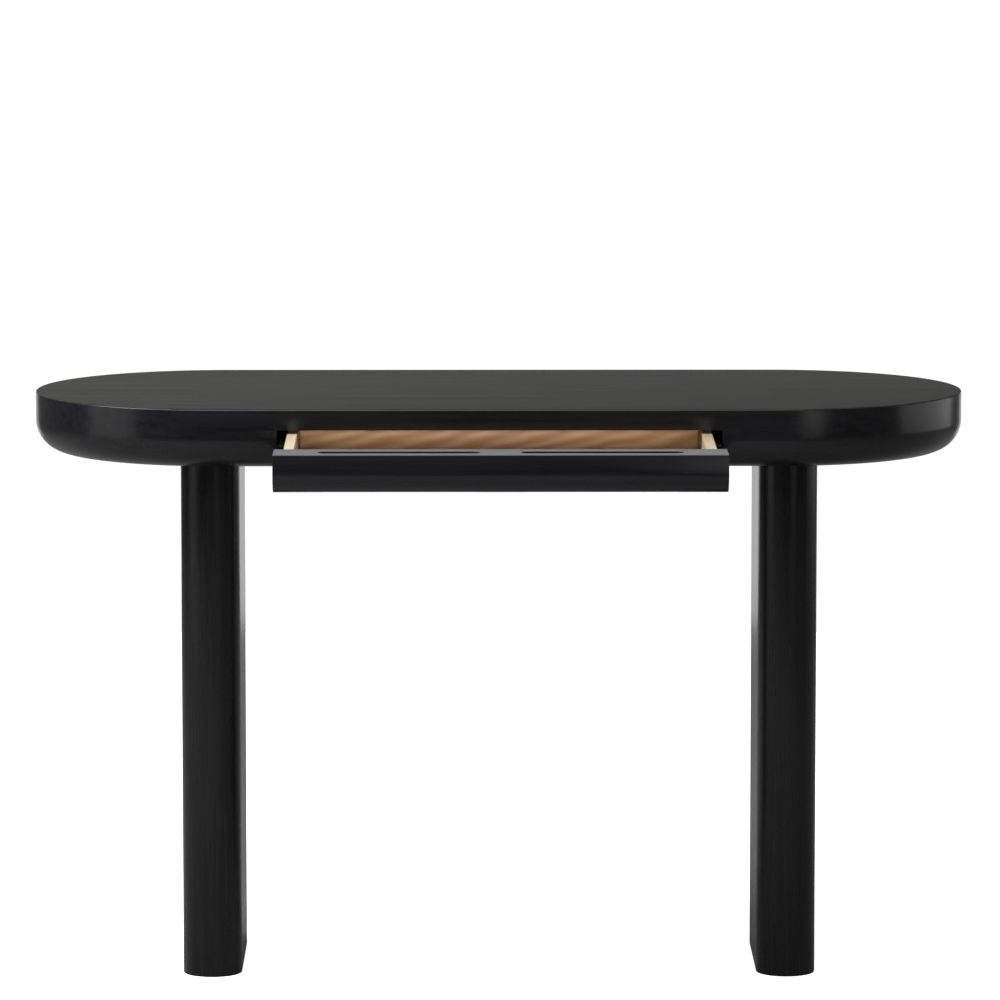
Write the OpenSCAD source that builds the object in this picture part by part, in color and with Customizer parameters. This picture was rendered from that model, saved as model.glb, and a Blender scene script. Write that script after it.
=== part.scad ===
// Console table: a thick stadium-shaped slab on two slab legs, with one wide
// drawer on ball-bearing slides. Millimetres, +Z up. The origin is on the floor,
// under the middle of the whole object with its drawer drawn out by drawer_open.

/* [Table] */
// Length of the slab, end to end
table_w = 1200; // [1100:10:1400]
// Depth of the slab, which is also the diameter of its round ends
table_d = 480; // [440:10:520]
// Height of the top face above the floor
table_h = 750; // [700:10:800]
// Thickness of the slab
slab_t = 77; // [70:1:90]
// Thickness of the top board
top_t = 27; // [20:0.5:28]
// Radius of the round-over under the slab's edge
edge_round = 40; // [30:1:45]
// Width of the solid rim round the slab
rim_w = 60; // [50:1:64]
// Thickness of the thin panels that close the slab underneath
bottom_panel_t = 6; // [4:1:8]
// Thickness of the walls beside the drawer
bay_wall_t = 18; // [12:1:24]

/* [Legs] */
// Distance from the table's middle to the middle of a leg
leg_x = 371; // [360:1:390]
// Width of a leg, seen from the front
leg_w = 76; // [60:1:80]
// Depth of a leg, front to back
leg_d = 264; // [220:2:280]
// Depth of each half-round post
post_d = 60; // [50:1:70]
// Thickness of the two panels between the posts
leg_panel_t = 12; // [9:1:15]
// Height of the block that closes a leg's top
leg_top_h = 40; // [30:1:60]
// Height of the block that closes a leg's foot
leg_foot_h = 30; // [25:1:40]

/* [Drawer] */
// How far the drawer is drawn out
drawer_open = 255; // [0:5:300]
// Width of the drawer opening
opening_w = 562; // [500:2:562]
// Gap at each end of the drawer front
front_gap = 1.5; // [1:0.1:3]
// Gap over the drawer front
front_top_gap = 1.5; // [1:0.1:3]
// Thickness of the drawer front
front_t = 65; // [50:1:65]
// Radius of the round-over under the drawer front
front_round = 26; // [20:1:40]
// Thickness of the drawer's sides and back
side_t = 13; // [10:1:14]
// How far the sides stop below the top of the front
side_drop = 3.2; // [0:0.1:8]
// Thickness of the drawer's bottom
bottom_t = 5; // [4:0.5:6]
// Length of a finger slot
slot_l = 200; // [100:2:220]
// Width of a finger slot
slot_w = 20; // [16:1:24]
// Distance from the middle of the front to the middle of a slot
slot_x = 125; // [110:1:140]
// Distance from the front face to the middle of a slot
slot_in = 31; // [28:1:34]

/* [Slides] */
// Length of a slide, which is also its travel
slide_l = 300; // [260:10:300]
// Height of the cabinet member
slide_h = 35; // [35:1:38]
// Thickness of a closed slide
slide_t = 12.7; // [12.7]
// Thickness of the slide's steel
sheet_t = 1.2; // [1:0.1:1.3]
// Diameter of the bearing balls
ball_d = 2.6; // [2.4:0.1:2.6]
// Balls in each row of a cage
balls_per_row = 8; // [4:1:10]

/* [Fasteners] */
// Diameter of the tie rods
rod_d = 8; // [8]
// Distance from a leg's middle to each tie rod
rod_y = 45; // [30:1:55]
// Diameter of the glued dowels in the slab
slab_dowel_d = 10; // [8:1:12]
// Diameter of the dowels in the drawer
drawer_dowel_d = 6; // [5:0.5:6]
// Diameter of the wood screws
screw_d = 3.5; // [3:0.5:4]

/* [Hidden] */
$fn = 64;
BLACK_OAK = "#26242a";
INNER_BOARD = "#8f7a5c";
PINE = "#c9ad82";
ZINC = "#b9bcc0";
STEEL = "#8d9094";

slab_r = table_d / 2;
end_x = table_w / 2 - slab_r;
slab_z = table_h - slab_t;
core_z = table_h - top_t;
core_h = core_z - slab_z;
table_y = drawer_open / 2;
rim_r = slab_r - rim_w;
bay_x = opening_w / 2;
panel_top_z = slab_z + bottom_panel_t;
fit_gap = 0.1;
cut = 1;

front_w = opening_w - 2 * front_gap;
front_z1 = core_z - front_top_gap;
front_back_y = -slab_r + front_t;
box_x = bay_x - slide_t;
box_z0 = slab_z + 1;
box_z1 = front_z1 - side_drop;
floor_z = box_z0 + bottom_t;
box_y1 = rim_r - 8;
rebate = side_t / 2;
front_rebate = 8;

slide_y0 = front_back_y + 3;
slide_z = (box_z0 + box_z1) / 2;
ball_gap = 0.3;
cabinet_half = slide_h / 2;
middle_half = cabinet_half - sheet_t - 2 * ball_gap - ball_d;
drawer_half = middle_half - sheet_t - 2 * ball_gap - ball_d;
cabinet_flange_x = 9.5;
middle_web_x = 2.8;
middle_flange_x = 10.6;
drawer_flange_x = 5.8;
cage_t = 0.5;
cage_y0 = 85;
cage_l = 125;
outer_cage_x = [1.75, 9];
outer_ball_x = 6;
inner_cage_x = [4.6, 10.2];
inner_ball_x = 8;
slide_screw_y = [35, 150, 265];

rod_z0 = 4;
rod_l = 700;
rod_hole_d = rod_d + 1;
nut_af = 13;
nut_h = 6.5;
washer_d = 24;
washer_t = 2;
washer_gap = 0.4;
nut_bore_d = 28;
nut_bore_h = 14;
insert_d = 12;
insert_l = 25;
tongue = 4;
tongue_d = 6;

// ---- Placing ----

// Puts what is drawn about the slab's middle in its place
module at_table() {
  translate([0, table_y, 0]) children();
}

// The same, for what travels with the drawer by a share of its travel
module at_travel(share) {
  translate([0, table_y - share * drawer_open, 0]) children();
}

// Everything is drawn on the right, and the left is its mirror image
module on_side(side) {
  if (side < 0) mirror([1, 0, 0]) children();
  else children();
}

module on_both_sides() {
  for (side = [-1, 1]) on_side(side) children();
}

// A box from its lowest corner to its highest corner
module block(low, high) {
  translate(low) cube(high - low);
}

// ---- Slab ----

module stadium(r, middle) {
  union() {
    translate([-middle, -r]) square([2 * middle, 2 * r]);
    for (side = [-1, 1]) translate([side * middle, 0]) circle(r = r, $fn = 128);
  }
}

// Cross-section of the rim: upright outside, rounded under, outer face at x = r
module rim_profile(r, width, round) {
  intersection() {
    translate([r - width, 0]) square([width, core_h]);
    union() {
      translate([r - width, 0]) square([width - round, core_h]);
      translate([r - round, round]) circle(r = round);
      translate([r - width, round]) square([width, core_h - round]);
    }
  }
}

// A straight length of rim along X, from x0 to x1, with its outer face at y = slab_r
module rim_straight(x0, x1) {
  translate([x0, 0, slab_z]) rotate([90, 0, 90])
    linear_extrude(height = x1 - x0) rim_profile(slab_r, rim_w, edge_round);
}

module dowel_x(at, d, l) {
  translate(at) rotate([0, 90, 0]) cylinder(d = d, h = l, center = true);
}

module dowel_y(at, d, l) {
  translate(at) rotate([90, 0, 0]) cylinder(d = d, h = l, center = true);
}

module dowel_z(at, d, l) {
  translate(at) cylinder(d = d, h = l, center = true);
}

top_dowel_l = 40;
top_dowel_z = core_z - 5;
end_dowel_angle = 60;
front_dowel_inset = 20;
rim_mid = slab_r - rim_w / 2;
end_dowel_at = [for (a = [-end_dowel_angle, 0, end_dowel_angle])
                 [end_x + rim_mid * cos(a), rim_mid * sin(a), top_dowel_z]];
front_dowel_at = [bay_x + front_dowel_inset, -rim_mid, top_dowel_z];
rear_dowel_at = [for (x = [-bay_x / 2, bay_x / 2]) [x, rim_mid, top_dowel_z]];

module right_top_dowels(d, l) {
  for (at = end_dowel_at) dowel_z(at, d, l);
  dowel_z(front_dowel_at, d, l);
}

module rear_top_dowels(d, l) {
  for (at = rear_dowel_at) dowel_z(at, d, l);
}

rail_dowel_l = 60;
rail_dowel_y = rim_mid - 5;
rail_dowel_z = [14, 34];

module right_rail_dowels(d, l) {
  for (z = rail_dowel_z) dowel_x([bay_x, rail_dowel_y, slab_z + z], d, l);
}

module top_board() {
  color(BLACK_OAK) at_table() difference() {
    translate([0, 0, core_z]) linear_extrude(height = top_t) stadium(slab_r, end_x);
    on_both_sides() right_top_dowels(slab_dowel_d + fit_gap, top_dowel_l + fit_gap);
    rear_top_dowels(slab_dowel_d + fit_gap, top_dowel_l + fit_gap);
  }
}

module rim(side) {
  color(BLACK_OAK) at_table() on_side(side) difference() {
    union() {
      translate([end_x, 0, slab_z]) rotate([0, 0, -90])
        rotate_extrude(angle = 180, $fn = 128) rim_profile(slab_r, rim_w, edge_round);
      for (back = [0, 1]) mirror([0, back, 0]) rim_straight(bay_x, end_x);
    }
    right_top_dowels(slab_dowel_d + fit_gap, top_dowel_l + fit_gap);
    right_rail_dowels(slab_dowel_d + fit_gap, rail_dowel_l + fit_gap);
  }
}

module left_rim() { rim(-1); }
module right_rim() { rim(1); }

module rear_rail() {
  color(BLACK_OAK) at_table() difference() {
    rim_straight(-bay_x, bay_x);
    rear_top_dowels(slab_dowel_d + fit_gap, top_dowel_l + fit_gap);
    on_both_sides() right_rail_dowels(slab_dowel_d + fit_gap, rail_dowel_l + fit_gap);
  }
}

module top_dowels() {
  color(PINE) at_table() {
    on_both_sides() right_top_dowels(slab_dowel_d, top_dowel_l);
    rear_top_dowels(slab_dowel_d, top_dowel_l);
  }
}

module rail_dowels() {
  color(PINE) at_table() on_both_sides() right_rail_dowels(slab_dowel_d, rail_dowel_l);
}

module bay_wall(side) {
  color(BLACK_OAK) at_table() on_side(side) difference() {
    block([bay_x, -rim_r, slab_z], [bay_x + bay_wall_t, rim_r, core_z]);
    right_cabinet_screws(fit_gap);
  }
}

module left_bay_wall() { bay_wall(-1); }
module right_bay_wall() { bay_wall(1); }

leg_block_x = 45;
panel_screw_l = 20;
panel_screw_dx = 30;
panel_screw_dy = 110;

module right_panel_screws(grow) {
  for (dx = [-panel_screw_dx, panel_screw_dx], dy = [-panel_screw_dy, panel_screw_dy])
    translate([leg_x + dx, dy, slab_z]) wood_screw(panel_screw_l, grow);
}

module leg_block(side) {
  color(INNER_BOARD) at_table() on_side(side) difference() {
    block([leg_x - leg_block_x, -leg_d / 2, panel_top_z], [leg_x + leg_block_x, leg_d / 2, core_z]);
    for (y = [-rod_y, rod_y]) translate([leg_x, y, panel_top_z - cut])
      cylinder(d = insert_d + fit_gap, h = insert_l + cut);
    right_panel_screws(fit_gap);
  }
}

module left_leg_block() { leg_block(-1); }
module right_leg_block() { leg_block(1); }

module bottom_panel(side) {
  color(BLACK_OAK) at_table() on_side(side) difference() {
    translate([0, 0, slab_z]) linear_extrude(height = bottom_panel_t) intersection() {
      stadium(rim_r, end_x);
      translate([bay_x + bay_wall_t, -rim_r]) square([table_w, 2 * rim_r]);
    }
    right_rods(rod_hole_d);
    right_panel_screws(fit_gap);
  }
}

module left_bottom_panel() { bottom_panel(-1); }
module right_bottom_panel() { bottom_panel(1); }

module bottom_panel_screws() {
  color(ZINC) at_table() on_both_sides() right_panel_screws(0);
}

// ---- Screws: the head's flat face is at z = 0 and the screw points up ----

module wood_screw(length, grow, d = screw_d) {
  cylinder(d1 = 2 * d + grow, d2 = d + grow, h = d / 2);
  cylinder(d = d + grow, h = length + grow);
}

// ---- Legs ----

post_r = leg_w / 2;
web_y = leg_d / 2 - post_d;
web_x = leg_w / 2 - leg_panel_t;

module right_rods(d) {
  for (y = [-rod_y, rod_y]) translate([leg_x, y, rod_z0]) cylinder(d = d, h = rod_l);
}

// One panel on the leg's +X face, with a tongue on each upright edge
module leg_panel_solid(grow) {
  block([web_x, -web_y, 0], [post_r, web_y, slab_z]);
  translate([0, 0, -cut * sign(grow)])
    block([web_x + (leg_panel_t - tongue - grow) / 2, -web_y - tongue_d - grow, 0],
          [web_x + (leg_panel_t + tongue + grow) / 2, web_y + tongue_d + grow,
           slab_z + 2 * cut * sign(grow)]);
}

module leg_post(side, back) {
  color(BLACK_OAK) at_table() on_side(side) translate([leg_x, 0, 0]) mirror([0, back, 0])
    difference() {
      linear_extrude(height = slab_z) union() {
        intersection() {
          translate([0, post_r - leg_d / 2]) circle(r = post_r);
          translate([-post_r, -leg_d / 2]) square([leg_w, post_r]);
        }
        translate([-post_r, post_r - leg_d / 2]) square([leg_w, post_d - post_r]);
      }
      for (face = [0, 1]) mirror([face, 0, 0]) leg_panel_solid(fit_gap);
    }
}

module leg_panel(side, outer) {
  color(BLACK_OAK) at_table() on_side(side) translate([leg_x, 0, 0])
    mirror([1 - outer, 0, 0]) leg_panel_solid(0);
}

module leg_top_block(side) {
  color(INNER_BOARD) at_table() on_side(side) difference() {
    block([leg_x - web_x, -web_y, slab_z - leg_top_h], [leg_x + web_x, web_y, slab_z]);
    right_rods(rod_hole_d);
  }
}

module leg_foot_block(side) {
  color(BLACK_OAK) at_table() on_side(side) difference() {
    block([leg_x - web_x, -web_y, 0], [leg_x + web_x, web_y, leg_foot_h]);
    right_rods(rod_hole_d);
    for (y = [-rod_y, rod_y]) translate([leg_x, y, -cut])
      cylinder(d = nut_bore_d, h = nut_bore_h + cut);
  }
}

module left_leg_front_post() { leg_post(-1, 0); }
module left_leg_rear_post() { leg_post(-1, 1); }
module left_leg_inner_panel() { leg_panel(-1, 0); }
module left_leg_outer_panel() { leg_panel(-1, 1); }
module left_leg_top_block() { leg_top_block(-1); }
module left_leg_foot_block() { leg_foot_block(-1); }
module right_leg_front_post() { leg_post(1, 0); }
module right_leg_rear_post() { leg_post(1, 1); }
module right_leg_inner_panel() { leg_panel(1, 0); }
module right_leg_outer_panel() { leg_panel(1, 1); }
module right_leg_top_block() { leg_top_block(1); }
module right_leg_foot_block() { leg_foot_block(1); }

module left_tie_rods() { color(ZINC) at_table() on_side(-1) right_rods(rod_d); }
module right_tie_rods() { color(ZINC) at_table() right_rods(rod_d); }

// Draws its children at the axis of each of the four tie rods
module at_rods() {
  at_table() for (x = [-leg_x, leg_x], y = [-rod_y, rod_y]) translate([x, y, 0]) children();
}

module tie_rod_nuts() {
  color(ZINC) at_rods() difference() {
    translate([0, 0, nut_bore_h - washer_t - nut_h]) cylinder(d = nut_af / cos(30), h = nut_h, $fn = 6);
    cylinder(d = rod_d + fit_gap, h = nut_bore_h);
  }
}

module tie_rod_washers() {
  color(ZINC) at_rods() difference() {
    translate([0, 0, nut_bore_h - washer_t]) cylinder(d = washer_d, h = washer_t);
    cylinder(d = rod_d + washer_gap, h = nut_bore_h + cut);
  }
}

module threaded_inserts() {
  color(STEEL) at_rods() difference() {
    translate([0, 0, panel_top_z]) cylinder(d = insert_d, h = insert_l);
    translate([0, 0, panel_top_z - cut]) cylinder(d = rod_d + fit_gap, h = insert_l + 2 * cut);
  }
}

// ---- Drawer ----

module slot_outline() {
  for (end = [-1, 1]) translate([end * (slot_l - slot_w) / 2, 0]) circle(d = slot_w);
  square([slot_l - slot_w, slot_w], center = true);
}

dowel_reach = 20;
drawer_dowel_z = [box_z0 + 12, box_z1 - 10];

module right_drawer_dowels(grow) {
  for (z = drawer_dowel_z)
    dowel_y([box_x - side_t / 2, front_back_y, z], drawer_dowel_d + grow, 2 * dowel_reach + grow);
}

module drawer_front() {
  color(BLACK_OAK) at_travel(1) difference() {
    translate([-front_w / 2, 0, slab_z]) rotate([90, 0, 90]) mirror([1, 0, 0])
      linear_extrude(height = front_w) intersection() {
        rim_profile(slab_r, front_t, front_round);
        square([slab_r, front_z1 - slab_z]);
      }
    for (x = [-slot_x, slot_x])
      translate([x, slot_in - slab_r, slab_z - cut]) linear_extrude(height = slab_t) slot_outline();
    block([-box_x - fit_gap, front_back_y - front_rebate, slab_z - cut],
          [box_x + fit_gap, front_back_y + cut, floor_z]);
    on_both_sides() right_drawer_dowels(fit_gap);
  }
}

back_screw_l = 35;
back_y0 = box_y1 - side_t;
back_screw_z = [floor_z + 4, box_z1 - 8];

module right_back_screws(grow) {
  for (z = back_screw_z)
    translate([box_x, box_y1 - side_t / 2, z]) rotate([0, -90, 0]) wood_screw(back_screw_l, grow);
}

floor_screw_l = 12;
floor_screw_d = 2;
floor_screw_inset = 30;
floor_screw_pitch = 90;
floor_screw_y = [front_back_y + floor_screw_inset : floor_screw_pitch : box_y1 - floor_screw_inset];
back_floor_screw_x = [-200, -100, 0, 100, 200];

module right_bottom_screws(grow) {
  for (y = floor_screw_y)
    translate([box_x - side_t + rebate / 2, y, box_z0]) wood_screw(floor_screw_l, grow, floor_screw_d);
}

module back_bottom_screws(grow) {
  for (x = back_floor_screw_x)
    translate([x, box_y1 - side_t / 2, box_z0]) wood_screw(floor_screw_l, grow, floor_screw_d);
}

module drawer_side(side) {
  color(PINE) at_travel(1) on_side(side) difference() {
    block([box_x - side_t, front_back_y, box_z0], [box_x, box_y1, box_z1]);
    block([box_x - side_t - cut, front_back_y - cut, box_z0 - cut],
          [box_x - side_t + rebate, box_y1 + cut, floor_z]);
    right_drawer_dowels(fit_gap);
    right_back_screws(fit_gap);
    right_bottom_screws(fit_gap);
    right_drawer_member_screws(fit_gap);
  }
}

module drawer_left_side() { drawer_side(-1); }
module drawer_right_side() { drawer_side(1); }

module drawer_back() {
  color(PINE) at_travel(1) difference() {
    block([side_t - box_x, back_y0, floor_z], [box_x - side_t, box_y1, box_z1]);
    on_both_sides() right_back_screws(fit_gap);
    back_bottom_screws(fit_gap);
  }
}

module drawer_bottom() {
  color(PINE) at_travel(1) difference() {
    block([side_t - rebate - box_x, front_back_y - front_rebate, box_z0],
          [box_x - side_t + rebate, box_y1, floor_z]);
    on_both_sides() right_bottom_screws(fit_gap);
    back_bottom_screws(fit_gap);
  }
}

module drawer_dowels() {
  color(PINE) at_travel(1) on_both_sides() right_drawer_dowels(0);
}

module drawer_back_screws() {
  color(ZINC) at_travel(1) on_both_sides() right_back_screws(0);
}

module drawer_bottom_screws() {
  color(ZINC) at_travel(1) {
    on_both_sides() right_bottom_screws(0);
    back_bottom_screws(0);
  }
}

// ---- Slides: x runs from the bay wall towards the drawer ----

// A channel: a web of the sheet's thickness, and a flange along each long edge
module channel(half, web_x0, flange_x0, flange_x1, t, y0, l) {
  block([web_x0, y0, -half], [web_x0 + t, y0 + l, half]);
  for (up = [0, 1]) mirror([0, 0, up])
    block([flange_x0, y0, half - t], [flange_x1, y0 + l, half]);
}

// Puts slide parts at the right-hand bay wall, with x measured into the bay
module at_slide(share) {
  at_travel(share) translate([bay_x, 0, slide_z]) mirror([1, 0, 0]) children();
}

slide_screw_l = 12;
side_screw_l = 10;
drawer_web_x = slide_t - sheet_t;

// A countersunk screw whose head fills the thickness of the slide's web
module slide_screw(length, grow) {
  cylinder(d1 = 2 * screw_d + grow, d2 = 1.2 * screw_d + grow, h = sheet_t);
  cylinder(d = screw_d + grow, h = sheet_t + length + grow);
}

module right_cabinet_screws(grow) {
  for (y = slide_screw_y)
    translate([bay_x - sheet_t, slide_y0 + y, slide_z]) rotate([0, 90, 0])
      slide_screw(slide_screw_l, grow);
}

module right_drawer_member_screws(grow) {
  for (y = slide_screw_y)
    translate([bay_x - drawer_web_x, slide_y0 + y, slide_z]) rotate([0, -90, 0])
      slide_screw(side_screw_l, grow);
}

module cabinet_member(side) {
  color(ZINC) difference() {
    on_side(side) at_slide(0) channel(cabinet_half, 0, 0, cabinet_flange_x, sheet_t, slide_y0, slide_l);
    on_side(side) at_table() right_cabinet_screws(fit_gap);
  }
}

module middle_member(side) {
  color(ZINC) on_side(side) at_slide(0.5)
    channel(middle_half, middle_web_x, middle_web_x, middle_flange_x, sheet_t, slide_y0, slide_l);
}

module drawer_member(side) {
  color(ZINC) difference() {
    on_side(side) at_slide(1)
      channel(drawer_half, drawer_web_x, drawer_flange_x, slide_t, sheet_t, slide_y0, slide_l);
    on_side(side) at_travel(1) right_drawer_member_screws(fit_gap);
  }
}

// A bent strip with a row of holes in each flange, and a loose ball in each hole
module ball_cage(half, x, ball_x) {
  ball_pitch = cage_l / balls_per_row;
  ball_y = [for (i = [0 : balls_per_row - 1]) slide_y0 + cage_y0 + (i + 0.5) * ball_pitch];
  ball_z = half - cage_t / 2;
  difference() {
    channel(half, x[0], x[0], x[1], cage_t, slide_y0 + cage_y0, cage_l);
    for (y = ball_y) dowel_z([ball_x, y, 0], ball_d + fit_gap, 4 * half);
  }
  for (y = ball_y, z = [-ball_z, ball_z]) translate([ball_x, y, z]) sphere(d = ball_d);
}

outer_cage_half = (cabinet_half - sheet_t + middle_half + cage_t) / 2;
inner_cage_half = (middle_half - sheet_t + drawer_half + cage_t) / 2;

module outer_ball_cage(side) {
  color(STEEL) on_side(side) at_slide(0.25) ball_cage(outer_cage_half, outer_cage_x, outer_ball_x);
}

module inner_ball_cage(side) {
  color(STEEL) on_side(side) at_slide(0.75) ball_cage(inner_cage_half, inner_cage_x, inner_ball_x);
}

module left_cabinet_member() { cabinet_member(-1); }
module left_middle_member() { middle_member(-1); }
module left_drawer_member() { drawer_member(-1); }
module left_outer_ball_cage() { outer_ball_cage(-1); }
module left_inner_ball_cage() { inner_ball_cage(-1); }
module right_cabinet_member() { cabinet_member(1); }
module right_middle_member() { middle_member(1); }
module right_drawer_member() { drawer_member(1); }
module right_outer_ball_cage() { outer_ball_cage(1); }
module right_inner_ball_cage() { inner_ball_cage(1); }

module cabinet_member_screws() {
  color(ZINC) at_table() on_both_sides() right_cabinet_screws(0);
}

module drawer_member_screws() {
  color(ZINC) at_travel(1) on_both_sides() right_drawer_member_screws(0);
}

top_board();
left_rim();
right_rim();
rear_rail();
left_bay_wall();
right_bay_wall();
left_leg_block();
right_leg_block();
left_bottom_panel();
right_bottom_panel();
top_dowels();
rail_dowels();
bottom_panel_screws();
left_leg_front_post();
left_leg_rear_post();
left_leg_inner_panel();
left_leg_outer_panel();
left_leg_top_block();
left_leg_foot_block();
right_leg_front_post();
right_leg_rear_post();
right_leg_inner_panel();
right_leg_outer_panel();
right_leg_top_block();
right_leg_foot_block();
left_tie_rods();
right_tie_rods();
tie_rod_nuts();
tie_rod_washers();
threaded_inserts();
drawer_front();
drawer_left_side();
drawer_right_side();
drawer_back();
drawer_bottom();
drawer_dowels();
drawer_back_screws();
drawer_bottom_screws();
left_cabinet_member();
left_middle_member();
left_drawer_member();
left_outer_ball_cage();
left_inner_ball_cage();
right_cabinet_member();
right_middle_member();
right_drawer_member();
right_outer_ball_cage();
right_inner_ball_cage();
cabinet_member_screws();
drawer_member_screws();
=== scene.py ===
# %% [markdown]
# # A console table with a drawer
# The table is a thick slab with full half-round ends, on two round-ended slab legs, all of it
# oak stained black and lacquered. One wide drawer runs in the slab on ball-bearing slides. The
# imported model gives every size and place; this lesson builds the visible surfaces around it.

import math

import bmesh
import bpy
from mathutils import Matrix, Vector


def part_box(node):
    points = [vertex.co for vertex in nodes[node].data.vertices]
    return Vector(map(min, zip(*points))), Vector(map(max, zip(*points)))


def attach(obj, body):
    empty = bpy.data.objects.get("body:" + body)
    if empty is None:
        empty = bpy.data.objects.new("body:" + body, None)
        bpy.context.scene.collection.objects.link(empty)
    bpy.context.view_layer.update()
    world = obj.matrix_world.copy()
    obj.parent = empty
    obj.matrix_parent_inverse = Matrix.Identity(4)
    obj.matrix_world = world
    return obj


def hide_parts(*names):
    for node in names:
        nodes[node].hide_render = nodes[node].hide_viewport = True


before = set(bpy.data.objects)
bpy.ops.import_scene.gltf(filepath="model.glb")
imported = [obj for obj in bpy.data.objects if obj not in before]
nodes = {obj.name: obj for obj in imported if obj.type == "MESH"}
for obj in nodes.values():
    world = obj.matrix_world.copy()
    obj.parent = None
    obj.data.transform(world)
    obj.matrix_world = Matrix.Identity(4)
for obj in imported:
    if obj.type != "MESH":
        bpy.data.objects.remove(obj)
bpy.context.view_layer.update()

# %% [markdown]
# ## Sizes
# Nothing is measured twice: the slab's radius, the legs' places and the drawer's travel are all
# read from the boxes of the nodes that already have them. MM turns a workshop size, such as a
# 2 mm eased edge, into Blender's metres.

# %% Read the main sizes from the nodes
MM = 0.001
top_low, top_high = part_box("top_board")
rim_low, rim_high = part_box("right_rim")
rail_low, rail_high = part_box("rear_rail")
front_low, front_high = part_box("drawer_front")
post_low, post_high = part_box("right_leg_front_post")
panel_low, panel_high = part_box("right_leg_outer_panel")

table_y = (top_low.y + top_high.y) / 2
slab_radius = (top_high.y - top_low.y) / 2
end_x = top_high.x - slab_radius
bay_x = rim_low.x
rim_width = rail_high.y - rail_low.y
underside_z = rim_low.z
lip_z = top_low.z
top_z = top_high.z
EDGE_ROUND = 40 * MM
FRONT_ROUND = 26 * MM
TOP_EASE = 3 * MM
EASE = 1.6 * MM
FINE_EASE = 0.8 * MM
print("slab", 2 * top_high.x, "x", 2 * slab_radius, "with the drawer bay from", -bay_x, "to", bay_x)

# %% [markdown]
# ## Small helpers for materials
# Colours are written as the hex values that a paint chart gives, and one function turns them
# into the linear light that Blender mixes. A second function adds a node, sets its properties
# and fills or links its inputs, so that each material below reads as a list of steps.

# %% Colour and node helpers
def linear(hex_colour, alpha=1.0):
    channels = [int(hex_colour[i:i + 2], 16) / 255 for i in (1, 3, 5)]
    return tuple(c / 12.92 if c <= 0.04045 else ((c + 0.055) / 1.055) ** 2.4 for c in channels) + (alpha,)


def add(tree, kind, inputs=None, **settings):
    node = tree.nodes.new(kind)
    for name, value in settings.items():
        setattr(node, name, value)
    for name, value in (inputs or {}).items():
        if isinstance(value, bpy.types.NodeSocket):
            tree.links.new(value, node.inputs[name])
        else:
            node.inputs[name].default_value = value
    return node


def start_material(name, **surface):
    material = bpy.data.materials.new(name)
    material.use_nodes = True
    tree = material.node_tree
    shader = tree.nodes["Principled BSDF"]
    for socket, value in surface.items():
        shader.inputs[socket.replace("_", " ").title().replace("Ior", "IOR")].default_value = value
    return material, tree, shader


def two_tone(tree, factor, dark, light, low=0.35, high=0.65):
    ramp = add(tree, "ShaderNodeValToRGB", {"Fac": factor})
    ramp.color_ramp.elements[0].position = low
    ramp.color_ramp.elements[0].color = linear(dark)
    ramp.color_ramp.elements[1].position = high
    ramp.color_ramp.elements[1].color = linear(light)
    return ramp.outputs["Color"]


def grain_space(tree, along, length, width):
    """Object coordinates squeezed so that one unit of noise is length x width x width."""
    scale = [1 / width] * 3
    scale["XYZ".index(along)] = 1 / length
    place = add(tree, "ShaderNodeTexCoord")
    squeezed = add(tree, "ShaderNodeMapping", {"Vector": place.outputs["Object"], "Scale": scale})
    return squeezed.outputs["Vector"]


# %% [markdown]
# ## Black-stained oak under satin lacquer
# Oak is stained until only its open pores still show, then sprayed with a satin lacquer. The
# lacquer gives the smooth sheen on edges and legs, which mirrors a bright room at a glance, and
# the pores give short dark streaks along the grain. The top face is rubbed down to a duller
# finish with more of the grain left in it, so it spreads the light that the edges mirror, and its
# grey is painted lighter than the edges' for the light from above. The drawer front's narrow top
# face is rubbed too, and its lighter, bluish grey and cool tint are a painted reflection of the
# bright room. The slot walls are painted nearly black, as painted shade. The figure is
# 9 mm wide, as in quartered oak. Real pores are about 0.3 mm wide, which is too fine to show,
# so they are drawn 0.9 mm wide.

# %% Black oak
FIGURE_WIDTH = 9 * MM
PORE_LENGTH, PORE_WIDTH = 22 * MM, 0.9 * MM


def black_oak(name, along, roughness, pore_depth, dark, light, gloss, streak_length=180 * MM, mottle=0.06):
    material, tree, shader = start_material(name, specular_ior_level=gloss, ior=1.5)
    figure = add(tree, "ShaderNodeTexNoise", {
        "Vector": grain_space(tree, along, streak_length, FIGURE_WIDTH),
        "Scale": 1.0, "Detail": 5.0, "Roughness": 0.6})
    pores = add(tree, "ShaderNodeTexNoise", {
        "Vector": grain_space(tree, along, PORE_LENGTH, PORE_WIDTH),
        "Scale": 1.0, "Detail": 2.0, "Roughness": 0.5})
    colour = two_tone(tree, figure.outputs["Fac"], dark, light)
    tree.links.new(colour, shader.inputs["Base Color"])
    rough = add(tree, "ShaderNodeMapRange", {
        "Value": figure.outputs["Fac"], "From Min": 0.3, "From Max": 0.7,
        "To Min": roughness * (1 - mottle), "To Max": roughness * (1 + mottle)})
    tree.links.new(rough.outputs["Result"], shader.inputs["Roughness"])
    bump = add(tree, "ShaderNodeBump", {
        "Height": pores.outputs["Fac"], "Strength": 0.25, "Distance": pore_depth})
    tree.links.new(bump.outputs["Normal"], shader.inputs["Normal"])
    return material


# The top's grain streaks are real wood; its grey, lighter than the edges', is painted light from above.
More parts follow.
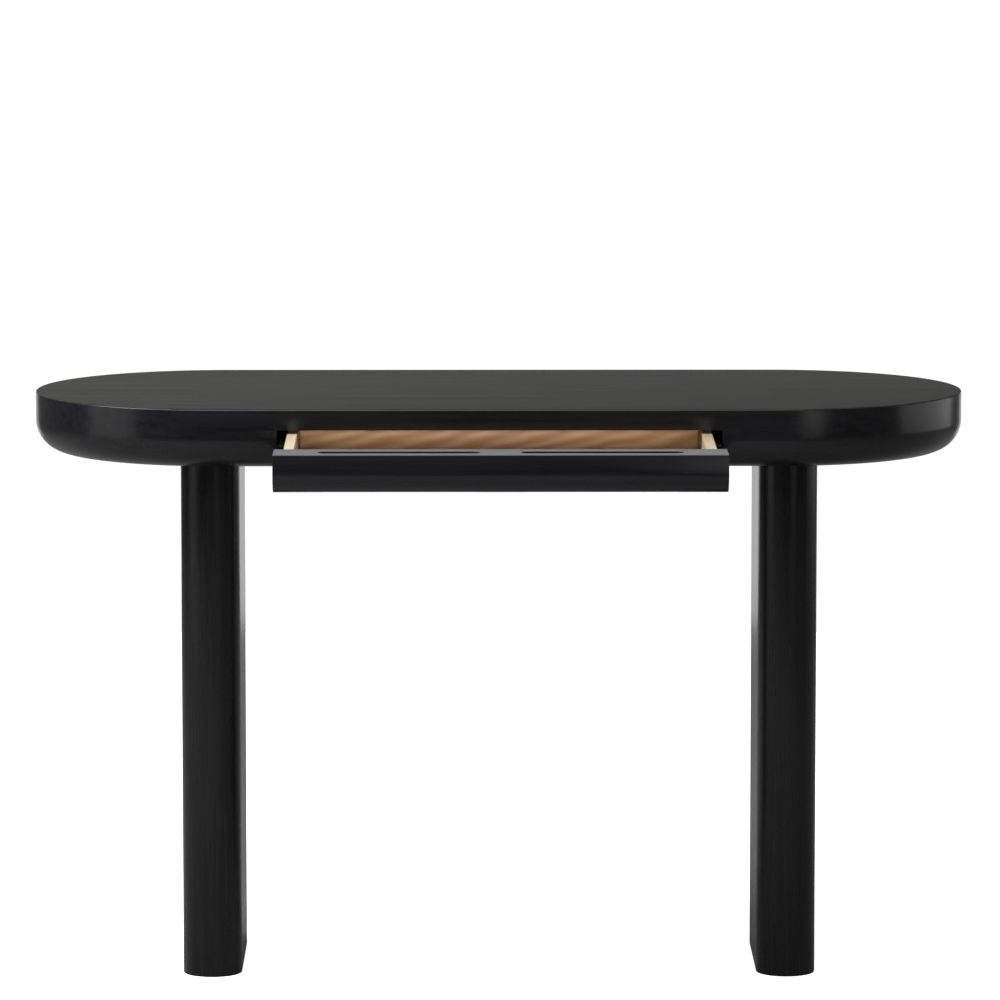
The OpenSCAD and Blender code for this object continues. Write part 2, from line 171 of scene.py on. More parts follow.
oak_top_painted_light = black_oak("black_oak_open_grain_painted_light", "X", 0.78, 0.12 * MM, "#1d1d1d", "#363635", 0.058, 320 * MM, 0.25)
oak_edge = black_oak("black_oak_satin_edge", "X", 0.22, 0.01 * MM, "#131314", "#1c1b1e", 0.30)
oak_leg = black_oak("black_oak_satin_leg", "Z", 0.27, 0.01 * MM, "#111112", "#1a1a1c", 0.25)
oak_front = black_oak("black_oak_satin_drawer_front", "X", 0.22, 0.01 * MM, "#141417", "#1c1c21", 0.30)
# The drawer top's lighter, bluish grey and its cool specular tint are a painted reflection of the bright
# room.
oak_front_top_painted_sheen = black_oak("black_oak_rubbed_drawer_top_painted_sheen", "X", 0.42, 0.004 * MM, "#24272c", "#2b2e34", 0.5)
cool_sheen = oak_front_top_painted_sheen.node_tree.nodes["Principled BSDF"].inputs["Specular Tint"]
cool_sheen.default_value = linear("#dce8fb")
# The slot's walls are painted nearly black: painted shade inside the routed slot.
oak_slot_painted_shade = black_oak("black_oak_slot_painted_shade", "X", 0.7, 0.05 * MM, "#0b0b0c", "#121213", 0.08)
oak_inside = black_oak("black_oak_stained_inside", "Y", 0.6, 0.05 * MM, "#101011", "#1a1a1a", 0.3)

# %% [markdown]
# ## Natural pine for the drawer box
# The box inside is pale pine with a clear matt lacquer. The back board is the same pine, but its
# deeper orange-brown is painted warm bounce light and shade from inside the box. Pine is cut
# across its growth rings, so the faces carry broad darker bands that run along the board and
# bend round old branches. A wave texture draws the bands, a slow noise shifts them, and a fine
# noise adds the fibres, which are drawn 0.7 mm wide because real ones are too fine to show. A
# board's slant is how many times longer than wide its figure is: a small, negative one gives
# steep lines that lean back.

# %% Pine and plywood
DRIFT_LENGTH, DRIFT_WIDTH = 340 * MM, 40 * MM
FIBRE_LENGTH, FIBRE_WIDTH = 30 * MM, 0.7 * MM
RING_SHARE, FIBRE_SHARE = 0.35, 0.3


def pine(name, along, across, dark, light, ring_width=26 * MM, roughness=0.5, slant=12):
    material, tree, shader = start_material(name, ior=1.46, roughness=roughness)
    drift = add(tree, "ShaderNodeTexNoise", {
        "Vector": grain_space(tree, along, DRIFT_LENGTH, DRIFT_WIDTH),
        "Scale": 1.0, "Detail": 2.0, "Roughness": 0.5})
    rings = add(tree, "ShaderNodeTexWave", {
        "Vector": grain_space(tree, along, slant * ring_width, ring_width),
        "Scale": 0.5, "Distortion": 5.0, "Detail": 2.0, "Detail Scale": 0.8},
        wave_type="BANDS", bands_direction=across, wave_profile="SIN")
    fibres = add(tree, "ShaderNodeTexNoise", {
        "Vector": grain_space(tree, along, FIBRE_LENGTH, FIBRE_WIDTH), "Scale": 1.0, "Detail": 3.0})
    banded = add(tree, "ShaderNodeMath", {
        0: rings.outputs["Fac"], 1: RING_SHARE, 2: drift.outputs["Fac"]}, operation="MULTIPLY_ADD")
    fibred = add(tree, "ShaderNodeMath", {
        0: fibres.outputs["Fac"], 1: FIBRE_SHARE, 2: banded.outputs[0]}, operation="MULTIPLY_ADD")
    colour = two_tone(tree, fibred.outputs[0], light, dark, 0.55, 1.05)
    tree.links.new(colour, shader.inputs["Base Color"])
    bump = add(tree, "ShaderNodeBump", {
        "Height": fibres.outputs["Fac"], "Strength": 0.2, "Distance": 0.05 * MM})
    tree.links.new(bump.outputs["Normal"], shader.inputs["Normal"])
    return material


pine_side = pine("pine_drawer_side", "Y", "Z", "#95805f", "#b3a48b")
# The back board's ring figure is real grain; its deeper orange-brown is painted warm bounce light and shade.
pine_back_painted_bounce = pine("pine_drawer_back_painted_bounce", "X", "DIAGONAL", "#bb8350", "#d6aa7b", 14 * MM, slant=-3.5)
plywood = pine("birch_plywood_bottom", "X", "DIAGONAL", "#a88d66", "#bba47f", 90 * MM, slant=3)
core_wood = pine("pine_core_block", "X", "Y", "#9a7347", "#b98f5f")
beech = pine("beech_dowel", "Z", "X", "#b98a5c", "#d3a97a", ring_width=3 * MM)

# %% [markdown]
# ## Metals
# Slides are cold-rolled strip with a black zinc plate, which keeps the rolling's fine lengthwise
# lines. Screws, rods, nuts and washers are bright zinc, a little blue and slightly uneven. The
# balls and their cages are bare hardened steel with a film of oil. Rolling lines are far finer
# than 0.1 mm, so they are drawn 0.4 to 0.8 mm apart.

# %% Steel finishes
def metal(name, dark, light, roughness, along="Y", line=0.4 * MM):
    material, tree, shader = start_material(name, metallic=1.0)
    lines = add(tree, "ShaderNodeTexNoise", {
        "Vector": grain_space(tree, along, 60 * MM, line), "Scale": 1.0, "Detail": 2.0})
    colour = two_tone(tree, lines.outputs["Fac"], dark, light, 0.3, 0.7)
    tree.links.new(colour, shader.inputs["Base Color"])
    rough = add(tree, "ShaderNodeMapRange", {
        "Value": lines.outputs["Fac"], "To Min": roughness * 0.8, "To Max": roughness * 1.2})
    tree.links.new(rough.outputs["Result"], shader.inputs["Roughness"])
    return material


black_zinc = metal("rolled_steel_black_zinc", "#1b1b1d", "#2c2c2f", 0.38)
bright_zinc = metal("steel_bright_zinc", "#9fa4aa", "#c3c7cc", 0.32, "Z", 0.8 * MM)
bare_steel = metal("hardened_steel_oiled", "#8f9194", "#b5b7ba", 0.22)

# %% [markdown]
# ## Helpers for pieces
# Every piece starts as a bmesh and ends the same way: it becomes an object at the origin, gets
# its material and smooth shading with sharp creases, stands in for its CAD node and rides on a
# body. A prism is a flat outline pushed along one axis, which is how most boards are made.

# %% Piece helpers
SMOOTH_ANGLE = math.radians(32)


def finish_piece(name, bm, material, slot, body, *replaced):
    bmesh.ops.remove_doubles(bm, verts=bm.verts[:], dist=1e-6)
    bmesh.ops.recalc_face_normals(bm, faces=bm.faces[:])
    mesh = bpy.data.meshes.new(name)
    bm.to_mesh(mesh)
    bm.free()
    mesh.shade_smooth()
    mesh.set_sharp_from_angle(angle=SMOOTH_ANGLE)
    mesh.materials.append(material)
    piece = bpy.data.objects.new(name, mesh)
    bpy.context.scene.collection.objects.link(piece)
    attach(piece, body)
    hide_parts(*replaced)
    print(name, len(mesh.polygons), "faces")
    return piece


def outline(bm, points):
    """A flat face through the points, which are in order round it."""
    return bm.faces.new([bm.verts.new(p) for p in points])


def push(bm, face, by):
    """Extrudes a face by a vector and leaves a closed prism."""
    made = bmesh.ops.extrude_face_region(bm, geom=[face])["geom"]
    moved = [v for v in made if isinstance(v, bmesh.types.BMVert)]
    bmesh.ops.translate(bm, verts=moved, vec=by)


def arc(centre, radius, start, end, steps):
    """Points along an arc in a plane, as (across, up) pairs, from one angle in degrees to another."""
    angles = [math.radians(start + (end - start) * i / steps) for i in range(steps + 1)]
    return [(centre[0] + radius * math.cos(a), centre[1] + radius * math.sin(a)) for a in angles]


def ease(bm, edges, width, segments=3):
    bmesh.ops.bevel(bm, geom=edges, offset=width, offset_type="OFFSET", segments=segments,
                    profile=0.5, affect="EDGES", material=-1, clamp_overlap=True)


def edges_where(bm, test):
    return [e for e in bm.edges if all(test(v.co) for v in e.verts)]


# %% [markdown]
# ## The top board
# The top is one board with half-round ends. Its outline is a square face with an arc at each
# end, pushed up to its thickness. Only the upper edge is eased, by a pass of sandpaper, because
# the lower edge is glued to the rim and the joint must not show. The flat face is rubbed and
# painted a lighter grey for the light that falls on it from above, and the edge keeps the lacquer's sheen.

# %% Top board
ARC_STEPS = 96


def near(a, b):
    return abs(a - b) < 1e-5


def top_board():
    bm = bmesh.new()
    right = arc((end_x, table_y), slab_radius, -90, 90, ARC_STEPS)
    left = arc((-end_x, table_y), slab_radius, 90, 270, ARC_STEPS)
    lip = [(-bay_x, table_y - slab_radius), (bay_x, table_y - slab_radius)]
    face = outline(bm, [(x, y, lip_z) for x, y in lip + right + left])
    push(bm, face, (0, 0, top_z - lip_z))
    ease(bm, edges_where(bm, lambda co: near(co.z, top_z)), TOP_EASE, 5)
    front = table_y - slab_radius
    ease(bm, edges_where(bm, lambda co: near(co.z, lip_z) and near(co.y, front) and abs(co.x) < bay_x + 1e-5),
         FINE_EASE, 2)
    piece = finish_piece("slab_top_board", bm, oak_top_painted_light, "black_stained_oak", "table", "top_board")
    # Faces that look up get the top finish, whose lighter grey is painted light from above.
    piece.data.materials.append(oak_edge)
    for polygon in piece.data.polygons:
        polygon.material_index = 0 if polygon.normal.z > 0.6 else 1


top_board()

# %% [markdown]
# ## The rim
# Under the top runs a thick rim, upright outside and rounded under with a 40 mm router bit.
# Its cross-section is drawn once, as a wire. Pushing the wire along X makes a straight run, and
# spinning it about the end's centre makes the half-round end, so the two meet with one normal.

# %% Rim and rear rail
def rim_section(x):
    """The rim's cross-section at x, on the front side of the slab."""
    inner = slab_radius - rim_width
    curve = arc((slab_radius - EDGE_ROUND, underside_z + EDGE_ROUND), EDGE_ROUND, -90, 0, 24)
    corners = [(inner, lip_z), (inner, underside_z)] + curve + [(slab_radius, lip_z)]
    return [Vector((x, table_y - out, z)) for out, z in corners]


def open_edges(bm):
    return [e for e in bm.edges if len(e.link_faces) < 2]


def wire(bm, points):
    verts = [bm.verts.new(p) for p in points]
    return [bm.edges.new((a, b)) for a, b in zip(verts, verts[1:] + verts[:1])]


def push_wire(bm, edges, by):
    made = bmesh.ops.extrude_edge_only(bm, edges=edges)["geom"]
    bmesh.ops.translate(bm, verts=[g for g in made if isinstance(g, bmesh.types.BMVert)], vec=by)
    return [g for g in made if isinstance(g, bmesh.types.BMEdge)]


def rim_end(name, side, replaced):
    bm = bmesh.new()
    section = wire(bm, rim_section(side * bay_x))
    run = Vector((side * (end_x - bay_x), 0, 0))
    at_arc = push_wire(bm, section, run)
    ring = [v for v in bm.verts if near(v.co.x, side * end_x)]
    spun = bmesh.ops.spin(bm, geom=ring + at_arc, cent=(side * end_x, table_y, 0), axis=(0, 0, side),
                          angle=math.pi, steps=ARC_STEPS, use_merge=False)["geom_last"]
    push_wire(bm, [g for g in spun if isinstance(g, bmesh.types.BMEdge)], -run)
    bmesh.ops.holes_fill(bm, edges=open_edges(bm), sides=0)
    front = table_y - slab_radius
    ease(bm, edges_where(bm, lambda co: near(co.x, side * bay_x) and co.y < table_y
                         and co.y < front + EDGE_ROUND and co.z < lip_z + 1e-5), FINE_EASE, 2)
    finish_piece(name, bm, oak_edge, "black_stained_oak", "table", replaced)


def rear_rail():
    bm = bmesh.new()
    section = wire(bm, [Vector((co.x, 2 * table_y - co.y, co.z)) for co in rim_section(-bay_x)])
    push_wire(bm, section, (2 * bay_x, 0, 0))
    bmesh.ops.holes_fill(bm, edges=open_edges(bm), sides=0)
    finish_piece("slab_rear_rail", bm, oak_edge, "black_stained_oak", "table", "rear_rail")


rim_end("slab_right_end", 1, "right_rim")
rim_end("slab_left_end", -1, "left_rim")
rear_rail()

# %% [markdown]
# ## The legs
# Each leg is two half-round posts with panels between them. A post is a D-shaped outline with
# a groove in its flat face for each panel's tongue. All outlines are pushed up to the slab, and
# the bottom edge that meets the floor is eased, so that it doesn't splinter when it is dragged.

# %% Posts and panels
POST_STEPS = 40
leg_radius = (post_high.x - post_low.x) / 2
leg_half_depth = table_y - post_low.y
panel_t = panel_high.x - panel_low.x
groove = post_high.y - panel_low.y
TONGUE_HALF = 2 * MM


def lift(bm, points, grounded):
    """Pushes an outline up to the slab and eases the floor edges that pass the test."""
    face = outline(bm, [(x, y, 0) for x, y in points])
    push(bm, face, (0, 0, underside_z))
    ease(bm, edges_where(bm, lambda co: near(co.z, 0) and grounded(co)), EASE, 3)


def leg_post(name, side, back, replaced):
    centre = (side * (post_low.x + post_high.x) / 2, 0)
    flip = 1 if back else -1
    joint = (post_high.y - table_y) * -1
    round_y = leg_half_depth - leg_radius
    curve = arc((0, round_y), leg_radius, 0, 180, POST_STEPS)
    notch_x = leg_radius - panel_t / 2
    notches = []
    for x in (-notch_x, notch_x):
        notches += [(x - TONGUE_HALF, joint), (x - TONGUE_HALF, joint + groove),
                    (x + TONGUE_HALF, joint + groove), (x + TONGUE_HALF, joint)]
    points = curve + [(-leg_radius, joint)] + notches + [(leg_radius, joint)]
    bm = bmesh.new()
    lift(bm, [(centre[0] + x, table_y + flip * y) for x, y in points],
         lambda co: abs(co.y - table_y) > joint - 1e-5 and
         (abs(co.y - table_y) > joint + 1e-5 or near(abs(co.x - centre[0]), leg_radius)))
    finish_piece(name, bm, oak_leg, "black_stained_oak", "table", replaced)


def leg_panel(name, side, outward, replaced):
    centre = side * (post_low.x + post_high.x) / 2
    joint = table_y - post_high.y
    out, inner = leg_radius, leg_radius - panel_t
    middle = (out + inner) / 2
    tongue = joint + groove
    half = [(out, joint), (middle + TONGUE_HALF, joint), (middle + TONGUE_HALF, tongue),
            (middle - TONGUE_HALF, tongue), (middle - TONGUE_HALF, joint), (inner, joint)]
    points = half + [(x, -y) for x, y in reversed(half)]
    direction = side * outward
    bm = bmesh.new()
    lift(bm, [(centre + direction * x, table_y + y) for x, y in points],
         lambda co: near(co.x, centre + direction * out))
    finish_piece(name, bm, oak_leg, "black_stained_oak", "table", replaced)


for side, word in ((-1, "left"), (1, "right")):
    leg_post(f"{word}_leg_post_front", side, False, f"{word}_leg_front_post")
    leg_post(f"{word}_leg_post_rear", side, True, f"{word}_leg_rear_post")
    leg_panel(f"{word}_leg_panel_outer", side, 1, f"{word}_leg_outer_panel")
    leg_panel(f"{word}_leg_panel_inner", side, -1, f"{word}_leg_inner_panel")

# %% [markdown]
# ## The drawer front
# The front is a solid bar, upright in front and rounded under like the slab's rim, with a
# smaller 26 mm radius. Two slots are routed right through it from above, and fingers
# hook into them from below. A Boolean takes out the slots and the rebate for the bottom board,
# and then every edge that a hand meets is eased.

# %% Drawer front
SLOT_LENGTH, SLOT_WIDTH = 200 * MM, 20 * MM
SLOT_X, SLOT_IN = 125 * MM, 31 * MM
bottom_low, bottom_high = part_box("drawer_bottom")
PAST = 2 * MM


def slot_cutter(bm, x, y):
    half, radius = (SLOT_LENGTH - SLOT_WIDTH) / 2, SLOT_WIDTH / 2
    ends = arc((x + half, y), radius, -90, 90, 16) + arc((x - half, y), radius, 90, 270, 16)
    face = outline(bm, [(px, py, underside_z - PAST) for px, py in ends])
    push(bm, face, (0, 0, front_high.z - underside_z + 2 * PAST))


def box_cutter(bm, low, high):
    made = bmesh.ops.create_cube(bm, size=1)["verts"]
    size, middle = Vector(high) - Vector(low), (Vector(high) + Vector(low)) / 2
    bmesh.ops.transform(bm, matrix=Matrix.Translation(middle) @ Matrix.Diagonal((*size, 1)), verts=made)


def cut_away(bm, cutter_bm):
    """Subtracts the cutter from bm with an exact Boolean, and returns the result as a new bmesh."""
    pair = []
    for part in (bm, cutter_bm):
        bmesh.ops.recalc_face_normals(part, faces=part.faces[:])
        mesh = bpy.data.meshes.new("boolean_part")
        part.to_mesh(mesh)
        part.free()
        pair.append(bpy.data.objects.new("boolean_part", mesh))
        bpy.context.scene.collection.objects.link(pair[-1])
    boolean = pair[0].modifiers.new("cut", "BOOLEAN")
    boolean.object, boolean.operation, boolean.solver = pair[1], "DIFFERENCE", "EXACT"
    boolean.use_self = True
    evaluated = pair[0].evaluated_get(bpy.context.evaluated_depsgraph_get())
    result = bmesh.new()
    result.from_mesh(evaluated.to_mesh())
    for part in pair:
        bpy.data.objects.remove(part)
    return result


def drawer_front():
    front_y, back_y = front_low.y, front_high.y
    curve = arc((front_y + FRONT_ROUND, underside_z + FRONT_ROUND), FRONT_ROUND, 180, 270, 20)
    section = [(front_y, front_high.z)] + curve + [(back_y, underside_z), (back_y, front_high.z)]
    bm = bmesh.new()
    face = outline(bm, [(front_low.x, y, z) for y, z in section])
    push(bm, face, (front_high.x - front_low.x, 0, 0))
    cutter = bmesh.new()
    for x in (-SLOT_X, SLOT_X):
        slot_cutter(cutter, x, front_y + SLOT_IN)
    box_cutter(cutter, (bottom_low.x - FINE_EASE, bottom_low.y, underside_z - PAST),
               (bottom_high.x + FINE_EASE, back_y + PAST, bottom_high.z))
    cut = cut_away(bm, cutter)
    bmesh.ops.remove_doubles(cut, verts=cut.verts[:], dist=1e-5)
    bmesh.ops.dissolve_limit(cut, angle_limit=math.radians(0.5), verts=cut.verts[:], edges=cut.edges[:])
    sharp = [e for e in cut.edges if len(e.link_faces) == 2 and e.calc_face_angle() > math.radians(40)
             and not all(v.co.y > bottom_low.y - 1e-5 and v.co.z < bottom_high.z + 1e-5 for v in e.verts)]
    ease(cut, sharp, FINE_EASE, 3)
    piece = finish_piece("drawer_front_slotted", cut, oak_front, "black_stained_oak", "drawer",
                         "drawer_front")
    piece.data.materials.append(oak_slot_painted_shade)
    piece.data.materials.append(oak_front_top_painted_sheen)
    # Slot walls get the darker finish, which is painted shade, and the top face the lighter one, which is a
    # painted reflection.
    for polygon in piece.data.polygons:
        x, y, z = polygon.center
        in_slot = (abs(abs(x) - SLOT_X) < SLOT_LENGTH / 2
                   and abs(y - front_y - SLOT_IN) < SLOT_WIDTH / 2 + PAST / 4)
        on_top = polygon.normal.z > 0.7 and z > front_high.z - FINE_EASE
        polygon.material_index = 2 if on_top else int(in_slot and z < front_high.z - FINE_EASE)


drawer_front()

# %% [markdown]
# ## The drawer box and the slides
# The drawer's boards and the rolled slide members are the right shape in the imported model, but
# their edges are knife sharp, which no sawn board or rolled strip has. A copy of each mesh is
# merged, its flat faces are joined, and a narrow bevel runs along its long edges only, so the
# dowel and screw holes stay round. Sandpaper takes 0.8 mm off a board; rolling rounds 0.4 mm.

# %% Ease the boards and roll the strips
ROLLED = 0.4 * MM
LONG_EDGE = 20 * MM


def merged_copy(node_name):
    bm = bmesh.new()
    bm.from_mesh(nodes[node_name].data)
    bmesh.ops.remove_doubles(bm, verts=bm.verts[:], dist=1e-6)
    bmesh.ops.dissolve_limit(bm, angle_limit=math.radians(0.5), verts=bm.verts[:], edges=bm.edges[:])
    return bm


def eased_copy(piece_name, node_name, material, slot, body, width):
    bm = merged_copy(node_name)
    sharp = [e for e in bm.edges if len(e.link_faces) == 2 and e.calc_length() > LONG_EDGE
             and e.calc_face_angle() > math.radians(40)]
    ease(bm, sharp, width, 2)
    finish_piece(piece_name, bm, material, slot, body, node_name)


eased_copy("drawer_side_left", "drawer_left_side", pine_side, "natural_pine", "drawer", FINE_EASE)
eased_copy("drawer_side_right", "drawer_right_side", pine_side, "natural_pine", "drawer", FINE_EASE)
eased_copy("drawer_back_board", "drawer_back", pine_back_painted_bounce, "natural_pine", "drawer", FINE_EASE)
for side in ("left", "right"):
    for member, body in (("cabinet", "table"), ("middle", f"{side}_middle_member"), ("drawer", "drawer")):
        eased_copy(f"{side}_slide_{member}", f"{side}_{member}_member", black_zinc,
                   "black_zinc_slide", body, ROLLED)

# %% [markdown]
# ## Screws with a cross recess
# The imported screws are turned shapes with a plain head. A real head has a cross recess for the
# driver. Each screw is found as a separate island of its node's mesh, the head is the end with
# the wider vertices, and two thin crossed boxes are cut out of it with a Boolean.

# %% Cut the recesses
RECESS_LENGTH, RECESS_WIDTH, RECESS_DEPTH = 0.62, 0.7 * MM, 1.2 * MM


def islands(bm):
    left = set(bm.verts)
    for start in bm.verts:
        if start not in left:
            continue
        left.remove(start)
        queue, found = [start], []
        while queue:
            vert = queue.pop()
            found.append(vert.co.copy())
            fresh = [e.other_vert(vert) for e in vert.link_edges if e.other_vert(vert) in left]
            left.difference_update(fresh)
            queue += fresh
        yield found


def spread(points, axis):
    """The widest distance across an axis among the points."""
    across = [i for i in range(3) if i != axis]
    return max(max(p[i] for p in points) - min(p[i] for p in points) for i in across)


def recessed_screws(piece_name, node_name, body):
    bm = merged_copy(node_name)
    cutter = bmesh.new()
    for points in islands(bm):
        low = [min(p[i] for p in points) for i in range(3)]
        high = [max(p[i] for p in points) for i in range(3)]
        axis = max(range(3), key=lambda i: high[i] - low[i])
        ends = {-1: [p for p in points if p[axis] < low[axis] + 1e-4],
                1: [p for p in points if p[axis] > high[axis] - 1e-4]}
        head = max(ends, key=lambda end: spread(ends[end], axis))
        face = high[axis] if head > 0 else low[axis]
        width = spread(ends[head], axis) * RECESS_LENGTH
        for long_way in (i for i in range(3) if i != axis):
            size = [RECESS_WIDTH] * 3
            size[long_way] = width
            size[axis] = 2 * RECESS_DEPTH
            middle = [(a + b) / 2 for a, b in zip(low, high)]
            middle[axis] = face
            half = Vector(size) / 2
            box_cutter(cutter, Vector(middle) - half, Vector(middle) + half)
    finish_piece(piece_name, cut_away(bm, cutter), bright_zinc, "zinc_fastener", body, node_name)


for place, node_name, body in (("panel", "bottom_panel_screws", "table"),
                               ("cabinet", "cabinet_member_screws", "table"),
                               ("drawer", "drawer_member_screws", "drawer"),
                               ("back", "drawer_back_screws", "drawer"),
                               ("floor", "drawer_bottom_screws", "drawer")):
    recessed_screws(f"{place}_screws_recessed", node_name, body)

# %% [markdown]
# ## Finishes for the CAD nodes
# Boards and rods that are already the right shape keep their CAD meshes, and only their
# material changes. One table says which finish each group of nodes has.

# %% Assign finishes
FINISHES = {
    oak_inside: ["left_bay_wall", "right_bay_wall", "left_bottom_panel", "right_bottom_panel",
                 "left_leg_foot_block", "right_leg_foot_block"],
    core_wood: ["left_leg_block", "right_leg_block", "left_leg_top_block", "right_leg_top_block"],
    plywood: ["drawer_bottom"],
    beech: ["top_dowels", "rail_dowels", "drawer_dowels"],
    bright_zinc: ["left_tie_rods", "right_tie_rods", "tie_rod_nuts", "tie_rod_washers", "threaded_inserts"],
    bare_steel: [f"{s}_{c}_ball_cage" for s in ("left", "right") for c in ("outer", "inner")],
}
for material, names in FINISHES.items():
    for name in names:
        nodes[name].material_slots[0].material = material

# %% [markdown]
# ## Stage, light and camera
# The table stands on a pale floor in front of a backlit cloth. Black lacquer shows what it
# reflects more than its own colour, so the stage is built for its reflections. The floor is
# white to the lens, but a middle grey to the lacquer, and darker still in front of the sheet
# of paper that the table stands on. A Light Path node tells the two apart. The cloth shines on
# one side only, so it can be walked round, and it is just wide enough to edge the legs.

# %% Floor and wall
WALL_Y = table_y + 2.955
PAPER_FRONT_Y = table_y - 2.5
ROOM_HALF = 9.0
WALL_HALF = 1.75
WALL_HEIGHT = 4.5
FLOOR_FRONT_Y = -14


def stage_plane(name, corners, material):
    bm = bmesh.new()
    outline(bm, corners)
    mesh = bpy.data.meshes.new(name)
    bm.to_mesh(mesh)
    bm.free()
    mesh.materials.append(material)
    plane = bpy.data.objects.new(name, mesh)
    bpy.context.scene.collection.objects.link(plane)


def one_way(tree, shader):
    """Lets light and the lens through from behind, so a plane never hides the table."""
    clear = add(tree, "ShaderNodeBsdfTransparent")
    facing = add(tree, "ShaderNodeNewGeometry")
    mixed = add(tree, "ShaderNodeMixShader", {"Fac": facing.outputs["Backfacing"]})
    tree.links.new(shader.outputs[0], mixed.inputs[1])
    tree.links.new(clear.outputs[0], mixed.inputs[2])
    tree.links.new(mixed.outputs[0], tree.nodes["Material Output"].inputs["Surface"])


floor_paint, floor_tree, floor_shader = start_material("floor_matt_white_paint", roughness=0.9)
floor_shader.inputs["Specular IOR Level"].default_value = 0.0
ray = add(floor_tree, "ShaderNodeLightPath")
floor_place = add(floor_tree, "ShaderNodeTexCoord")
floor_axes = add(floor_tree, "ShaderNodeSeparateXYZ", {"Vector": floor_place.outputs["Object"]})
paper = add(floor_tree, "ShaderNodeMapRange", {
    "Value": floor_axes.outputs["Y"], "From Min": PAPER_FRONT_Y - 0.1, "From Max": PAPER_FRONT_Y + 0.1})
bounce = add(floor_tree, "ShaderNodeMix", {"Factor": paper.outputs["Result"]}, data_type="RGBA")
bounce.inputs[6].default_value = linear("#3c3c3c")
bounce.inputs[7].default_value = linear("#949494")
paint = add(floor_tree, "ShaderNodeMix", {"Factor": ray.outputs["Is Camera Ray"]}, data_type="RGBA")
floor_tree.links.new(bounce.outputs[2], paint.inputs[6])
paint.inputs[7].default_value = linear("#f4f4f4")
floor_tree.links.new(paint.outputs[2], floor_shader.inputs["Base Color"])
lift_glow = add(floor_tree, "ShaderNodeMath", {0: ray.outputs["Is Camera Ray"], 1: 0.8}, operation="MULTIPLY")
floor_shader.inputs["Emission Color"].default_value = linear("#ffffff")
floor_tree.links.new(lift_glow.outputs[0], floor_shader.inputs["Emission Strength"])
one_way(floor_tree, floor_shader)
stage_plane("studio_floor", [(-ROOM_HALF, FLOOR_FRONT_Y, 0), (ROOM_HALF, FLOOR_FRONT_Y, 0),
                             (ROOM_HALF, WALL_Y, 0), (-ROOM_HALF, WALL_Y, 0)], floor_paint)

wall_cloth, wall_tree, _ = start_material("wall_backlit_cloth")
glow = add(wall_tree, "ShaderNodeEmission", {"Color": linear("#fbfbfa"), "Strength": 1.1})
one_way(wall_tree, glow)
stage_plane("studio_wall", [(-WALL_HALF, WALL_Y, 0), (WALL_HALF, WALL_Y, 0),
                            (WALL_HALF, WALL_Y, WALL_HEIGHT), (-WALL_HALF, WALL_Y, WALL_HEIGHT)], wall_cloth)


# %% [markdown]
# ## Lights
# A wide soft box overhead lights the top, and a smaller key light from the left shades the right
# side. A box on each side draws the highlights down the legs. Two boxes point down at the floor
# in front, which the upright faces mirror. A narrow lamp is linked to the drawer's pine boards
# alone, as a snoot would do, because an open drawer under a thick top is otherwise too dark.

# %% Lights
def soft_box(name, place, target, size, power, spread=180, only=None):
    data = bpy.data.lights.new(name, "AREA")
    data.shape = "RECTANGLE"
    data.size, data.size_y = size
    data.energy = power
    data.spread = math.radians(spread)
    lamp = bpy.data.objects.new(name, data)
    lamp.location = place
    lamp.rotation_euler = (Vector(target) - Vector(place)).to_track_quat("-Z", "Y").to_euler()
    lamp.visible_camera = False
    lamp.light_linking.receiver_collection = only
    bpy.context.scene.collection.objects.link(lamp)


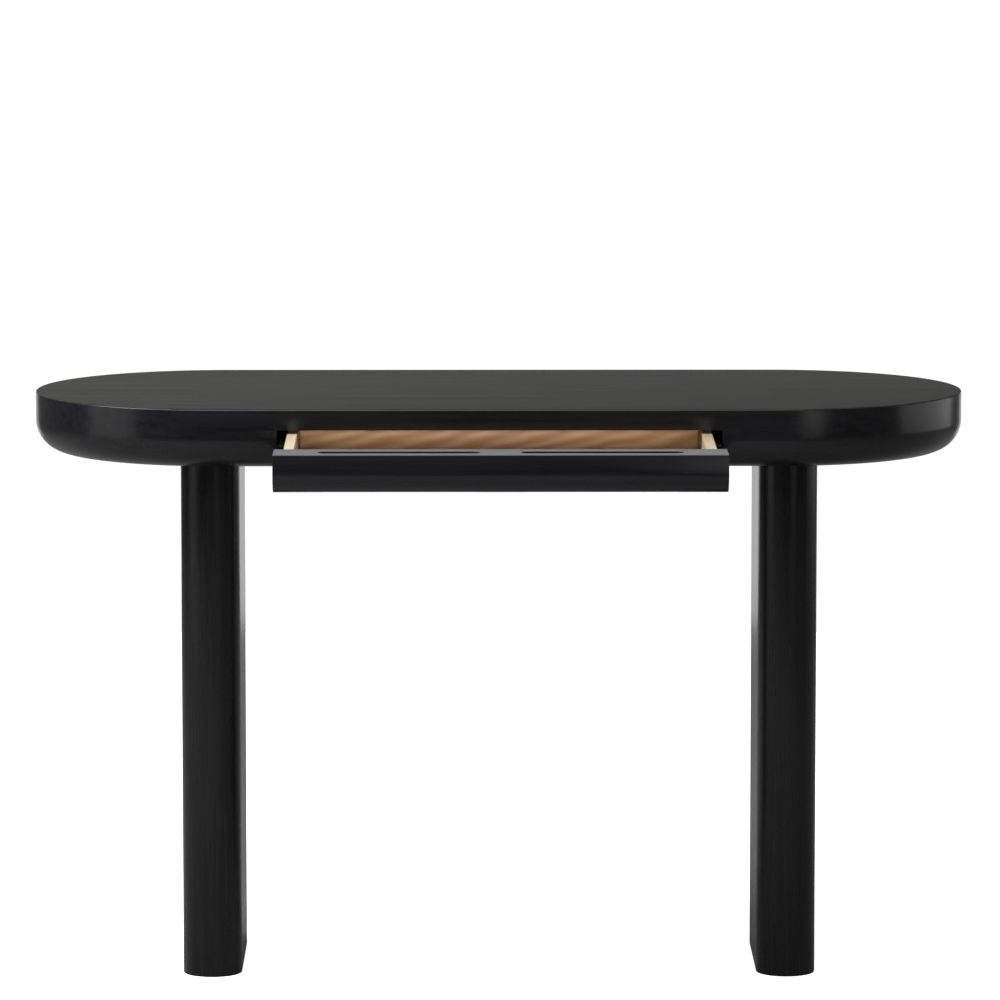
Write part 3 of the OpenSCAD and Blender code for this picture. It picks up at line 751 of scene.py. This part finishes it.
snooted = bpy.data.collections.new("drawer_box_only")
for name in ("drawer_side_left", "drawer_side_right", "drawer_back_board"):
    snooted.objects.link(bpy.data.objects[name])
snooted.objects.link(nodes["drawer_bottom"])
table_middle = (0, table_y, 0.6)
soft_box("overhead_soft_box", (0, table_y + 0.3, 3.4), table_middle, (5.0, 2.6), 45)
soft_box("apron_soft_box", (-0.9, -1.9, 3.0), (-0.9, -1.9, 0), (2.6, 1.2), 45, 110)
soft_box("key_soft_box", (-2.0, table_y - 0.6, 2.7), (0.2, table_y, 0.3), (1.6, 1.6), 90)
soft_box("left_soft_box", (-3.1, -1.0, 1.1), table_middle, (1.8, 2.4), 13)
soft_box("right_soft_box", (3.4, 1.0, 1.2), table_middle, (3.4, 2.0), 24)
soft_box("front_right_card", (2.2, -5.0, 0.8), table_middle, (1.2, 1.6), 8)
soft_box("front_floor_box", (0, -6.0, 4.0), (0, -6.2, 0), (6.0, 3.0), 140)
soft_box("drawer_snoot", (0, -7.0, 1.4), (0, -0.2, 0.7), (3.0, 0.6), 30, 60, snooted)

ROOM_DIM = 0.12
world = bpy.data.worlds.new("studio_air")
world.use_nodes = True
air = world.node_tree
seen = add(air, "ShaderNodeLightPath")
strength = add(air, "ShaderNodeMapRange", {
    "Value": seen.outputs["Is Camera Ray"], "To Min": ROOM_DIM, "To Max": 1.0})
air.nodes["Background"].inputs["Color"].default_value = linear("#ffffff")
air.links.new(strength.outputs["Result"], air.nodes["Background"].inputs["Strength"])
bpy.context.scene.world = world
bpy.context.scene.view_settings.view_transform = "Standard"

# %% [markdown]
# ## Camera
# A long lens stands far back, a little above the table's top, and looks slightly down. That
# keeps the legs upright and shows the top as a thin ellipse. The table is turned by a third of
# a degree, so the camera moves round it by that much.

# %% Camera
camera_data = bpy.data.cameras.new("camera")
camera_data.sensor_width = 36
camera_data.lens = 234
camera_data.shift_x = 0.0013
camera_data.shift_y = 0.0004
camera_data.clip_end = 100
camera = bpy.data.objects.new("camera", camera_data)
DISTANCE, HEIGHT = 8.386, 1.653
turn, look_down = math.radians(0.3), math.radians(7.13)
camera.location = (-DISTANCE * math.sin(turn), table_y - DISTANCE * math.cos(turn), HEIGHT)
camera.rotation_euler = (math.pi / 2 - look_down, 0, -turn)
bpy.context.scene.collection.objects.link(camera)
bpy.context.scene.camera = camera

# %% Update the scene
bpy.context.view_layer.update()
